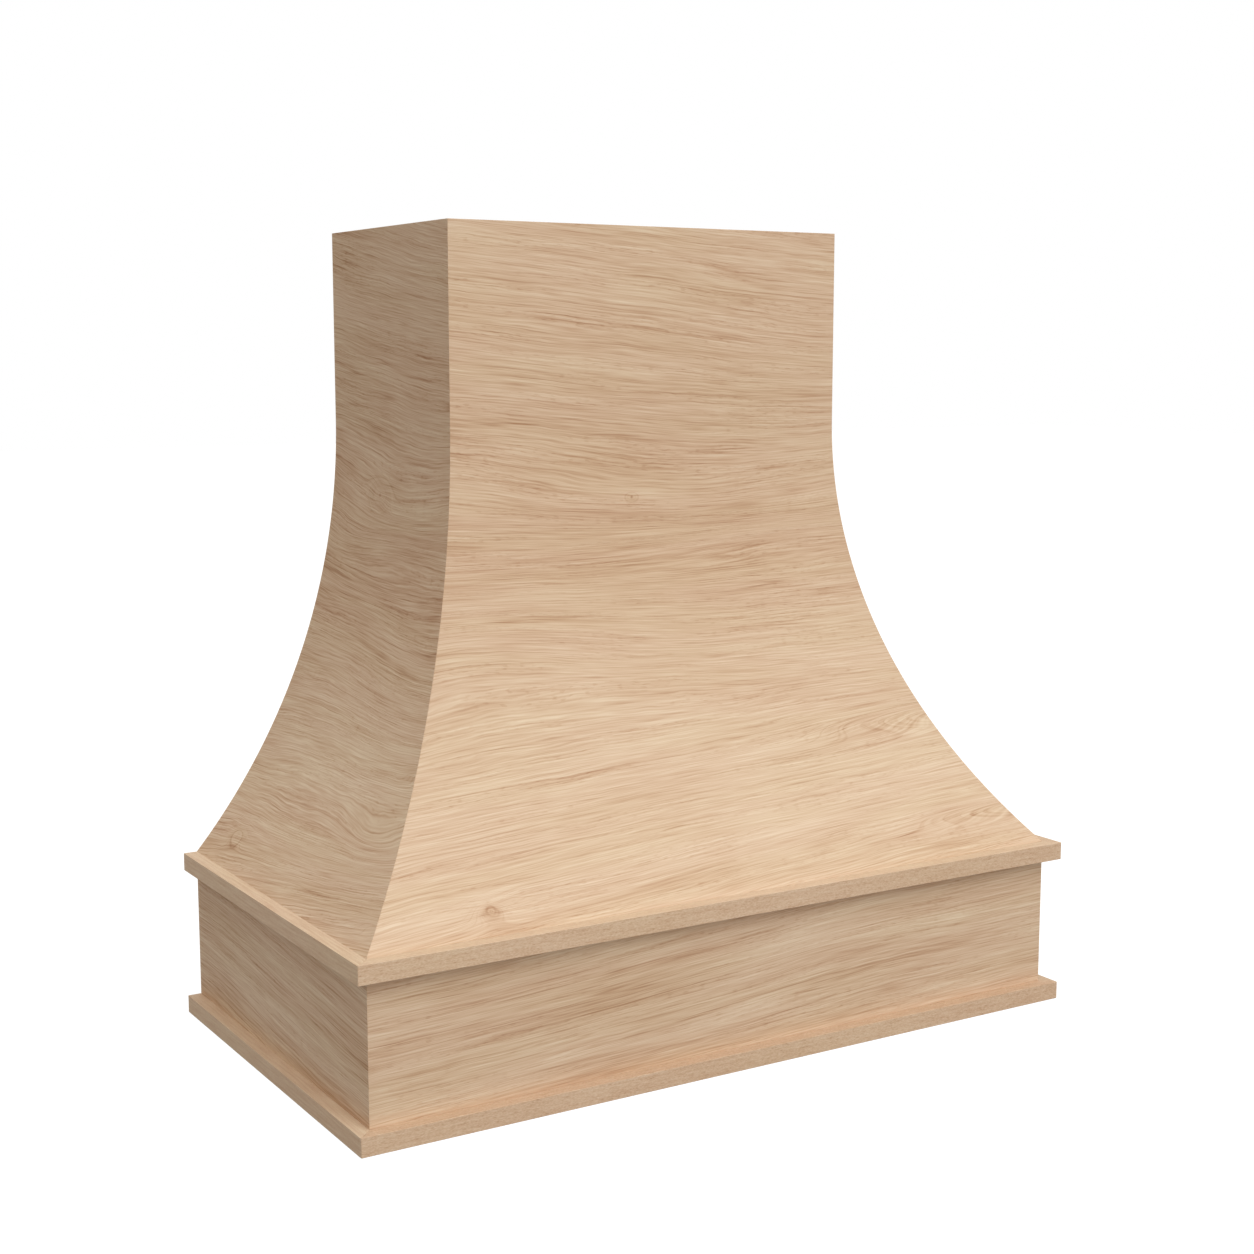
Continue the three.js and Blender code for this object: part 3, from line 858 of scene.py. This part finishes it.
SCREW_SIDES = 32
SCREW_HEAD = 0.0038  # radius, as the next two are
SCREW_SHANK = 0.0018
SCREW_ROOT = 0.0013  # between the threads
SCREW_RIM = 0.00015  # bevel round the face
SCREW_HEAD_DEPTH = 0.0024
SCREW_PITCH = 0.0018
SCREW_POINT = 0.004  # length of the taper at the tip
THREAD_ROWS = 6  # to a turn
THREAD_STEEPNESS = 3  # so that a ridge takes up two thirds of the pitch
SHARP_ANGLE = 35  # degrees

# The cutter for the cross: the span and width of its arms at its mouth and floor, and their z.
CROSS_MOUTH = (0.0041304348, 0.00102272727, 0.0004)
CROSS_FLOOR = (0.0018173913, 0.00045, -0.0014)


def screw_rings(length):
    """Rings down a screw that points along -Z from z = 0.

    Each is its z, its radius between the threads and its radius on them.
    """
    start = SCREW_HEAD_DEPTH + SCREW_PITCH
    plain = (
        (0.0, 0.0),
        (0.0, SCREW_HEAD - SCREW_RIM),
        (-SCREW_RIM, SCREW_HEAD),
        (-SCREW_HEAD_DEPTH, SCREW_SHANK),
        (-start, SCREW_SHANK),
    )
    rings = [(z, radius, radius) for z, radius in plain]
    rows = int((length - start) / SCREW_PITCH * THREAD_ROWS)
    for row in range(1, rows):
        depth = start + (length - start) * row / rows
        taper = min(1.0, (length - depth) / SCREW_POINT)
        rings.append((-depth, SCREW_ROOT * taper, SCREW_SHANK * taper))
    rings.append((-length, 0.0, 0.0))
    return rings


def screw_mesh(length, finish):
    """A countersunk wood screw with its thread, and no recess yet."""
    shell = bmesh.new()
    rows = []
    for z, root, crest in screw_rings(length):
        if crest == 0.0:
            rows.append([shell.verts.new((0, 0, z))])
            continue
        row = []
        for i in range(SCREW_SIDES):
            turn = i / SCREW_SIDES
            phase = (z / SCREW_PITCH + turn) % 1.0
            thread = max(0.0, 1 - THREAD_STEEPNESS * abs(phase - 0.5))
            radius = root + (crest - root) * thread
            angle = 2 * math.pi * turn
            row.append(shell.verts.new((radius * math.cos(angle), radius * math.sin(angle), z)))
        rows.append(row)
    for upper, lower in zip(rows, rows[1:]):
        for i in range(SCREW_SIDES):
            j = (i + 1) % SCREW_SIDES
            corners = [upper[i % len(upper)], upper[j % len(upper)]]
            corners += [lower[j % len(lower)], lower[i % len(lower)]]
            shell.faces.new(dict.fromkeys(corners))
    bmesh.ops.recalc_face_normals(shell, faces=shell.faces)
    mesh = bpy.data.meshes.new("screw")
    shell.to_mesh(mesh)
    shell.free()
    mesh.materials.append(finish)
    return mesh


def cross_cutter():
    """Two crossed wedges, narrower at the bottom of the recess."""
    shell = bmesh.new()
    for angle in (0.0, math.pi / 2):
        turn = Matrix.Rotation(angle, 3, "Z")
        for vert in bmesh.ops.create_cube(shell, size=1.0)["verts"]:
            span, width, z = CROSS_MOUTH if vert.co.z > 0 else CROSS_FLOOR
            vert.co = turn @ Vector((vert.co.x * span, vert.co.y * width, z))
    mesh = bpy.data.meshes.new("cross")
    shell.to_mesh(mesh)
    shell.free()
    return mesh


def cut_recess(mesh):
    """The screw's mesh with a cross recess in its head."""
    blank = add_object("screw_blank", mesh)
    cutter = add_object("cross_cutter", cross_cutter())
    modifier = blank.modifiers.new("recess", "BOOLEAN")
    modifier.operation = "DIFFERENCE"
    modifier.solver = "EXACT"
    modifier.use_self = True
    modifier.object = cutter
    graph = bpy.context.evaluated_depsgraph_get()
    cut = bpy.data.meshes.new_from_object(blank.evaluated_get(graph))
    cut.shade_smooth()
    cut.set_sharp_from_angle(angle=math.radians(SHARP_ANGLE))
    for made in (blank, cutter):
        bpy.data.objects.remove(made)
    return cut


def screw_axis(node):
    """Where a screw's face is, which way it points, and how long it is."""
    low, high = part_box(node.name)
    size = high - low
    axis = max(range(3), key=lambda i: size[i])
    middle = (low + high) / 2

    def radius_at(end):
        arms = [vertex.co - middle for vertex in node.data.vertices]
        near = [arm for arm in arms if abs(arm[axis] + middle[axis] - end) < size[axis] / 20]
        for arm in near:
            arm[axis] = 0.0
        return max(arm.length for arm in near)

    face_low = radius_at(low[axis]) > radius_at(high[axis])
    face = middle.copy()
    face[axis] = low[axis] if face_low else high[axis]
    pointing = Vector((0, 0, 0))
    pointing[axis] = 1 if face_low else -1
    return face, pointing, size[axis]


def make_screws(finish):
    meshes = {}
    for name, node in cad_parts.items():
        if "screw" not in name:
            continue
        face, pointing, length = screw_axis(node)
        key = round(length, 5)
        if key not in meshes:
            meshes[key] = cut_recess(screw_mesh(length, finish))
        screw = add_object(f"steel_{name}", meshes[key])
        turn = Vector((0, 0, -1)).rotation_difference(pointing)
        screw.matrix_world = Matrix.Translation(face) @ turn.to_matrix().to_4x4()
        stand_for(screw, name)


def dress_brackets(finish):
    for word in SIDES:
        finish_solid(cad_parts[f"corner_bracket_{word}"], finish)


# ---- floor, light and camera ----

WHITE = (1.0, 1.0, 1.0, 1.0)
FLOOR_HALF = 14.0
FLOOR_DROP = 0.0005
FLOOR_GREY = (0.25, 0.25, 0.25, 1.0)
FLOOR_GLOW = 0.94
ROOM_LIGHT = 0.58
ROOM_COLOUR = (1.0, 0.94, 0.865, 1.0)
LAMP_COLOUR = (0.84, 0.93, 1.0)
LAMP_TARGET = (0.0, 0.0, 0.45)  # about the middle of the cover
SOFTBOXES = {  # place, width and power of each
    "key_softbox": ((0.1, -6.9, 8.45), 7.0, 622.0),
    "fill_softbox": ((0.0, -8.0, 1.6), 6.0, 212.0),
    "top_softbox": ((0.2, -0.8, 3.6), 2.6, 14.0),
}
CAMERA_PLACE = (-1.18179, -1.92397, 0.77397)
CAMERA_YAW = 31.5495  # degrees from +Y towards +X
CAMERA_DIP = 7.9649  # degrees below level
CAMERA_LENS = 56.035  # millimetres, as the next is
FILM_WIDTH = 36.0


def seen_directly(graph):
    """1 to the camera and to what is mirrored or seen through something, 0 to all other light."""
    rays = graph.node("ShaderNodeLightPath")
    kinds = ("Is Camera Ray", "Is Glossy Ray", "Is Transmission Ray")
    camera, glossy, through = (graph.wire(rays, kind) for kind in kinds)
    return graph.maths("MAXIMUM", graph.maths("MAXIMUM", camera, glossy), through)


def make_floor():
    """A pale floor that reads as white, but for the soft shadow of the cover."""
    corners = [(-1, -1), (1, -1), (1, 1), (-1, 1)]
    points = [(x * FLOOR_HALF, y * FLOOR_HALF, -FLOOR_DROP) for x, y in corners]
    mesh = bpy.data.meshes.new("floor")
    mesh.from_pydata(points, [], [(0, 1, 2, 3)])
    floor = add_object("floor", mesh)
    made, graph = material("floor")
    graph.surface(
        Base_Color=FLOOR_GREY,
        Roughness=1.0,
        Specular_IOR_Level=0.0,
        Emission_Color=WHITE,
        Emission_Strength=seen_directly(graph) * FLOOR_GLOW,
    )
    mesh.materials.append(made)


def make_world():
    """White to the camera, and an even dim room to everything else."""
    world = bpy.data.worlds.new("studio")
    bpy.context.scene.world = world
    graph = Graph(world)
    graph.tree.nodes.clear()
    room = graph.node("ShaderNodeBackground", {"Color": ROOM_COLOUR, "Strength": ROOM_LIGHT})
    white = graph.node("ShaderNodeBackground", {"Color": WHITE, "Strength": 1.0})
    shaders = {0: seen_directly(graph), 1: graph.wire(room, 0), 2: graph.wire(white, 0)}
    mixed = graph.node("ShaderNodeMixShader", shaders)
    graph.node("ShaderNodeOutputWorld", {"Surface": graph.wire(mixed, 0)})


def make_lights():
    for name, (place, width, power) in SOFTBOXES.items():
        lamp = bpy.data.lights.new(name, "AREA")
        lamp.shape = "SQUARE"
        lamp.size = width
        lamp.energy = power
        lamp.color = LAMP_COLOUR
        softbox = add_object(name, lamp)
        softbox.location = place
        aim = Vector(LAMP_TARGET) - Vector(place)
        softbox.rotation_euler = aim.to_track_quat("-Z", "Y").to_euler()


def make_camera():
    lens = bpy.data.cameras.new("camera")
    lens.sensor_fit = "HORIZONTAL"
    lens.sensor_width = FILM_WIDTH
    lens.lens = CAMERA_LENS
    camera = add_object("camera", lens)
    camera.location = CAMERA_PLACE
    camera.rotation_euler = (math.radians(90 - CAMERA_DIP), 0.0, math.radians(-CAMERA_YAW))
    bpy.context.scene.camera = camera


# ---- the whole scene ----

panel_edge = ply_edge()
panel_back = oak_veneer("oak_veneer_back", PLAIN_FIGURE)
steel = zinc_steel()

make_panels(panel_edge, panel_back)
make_bands()
make_apron(panel_edge, panel_back)
dress_frame()
make_screws(steel)
dress_brackets(steel)
make_floor()
make_world()
make_lights()
make_camera()
bpy.context.scene.view_settings.view_transform = "Standard"
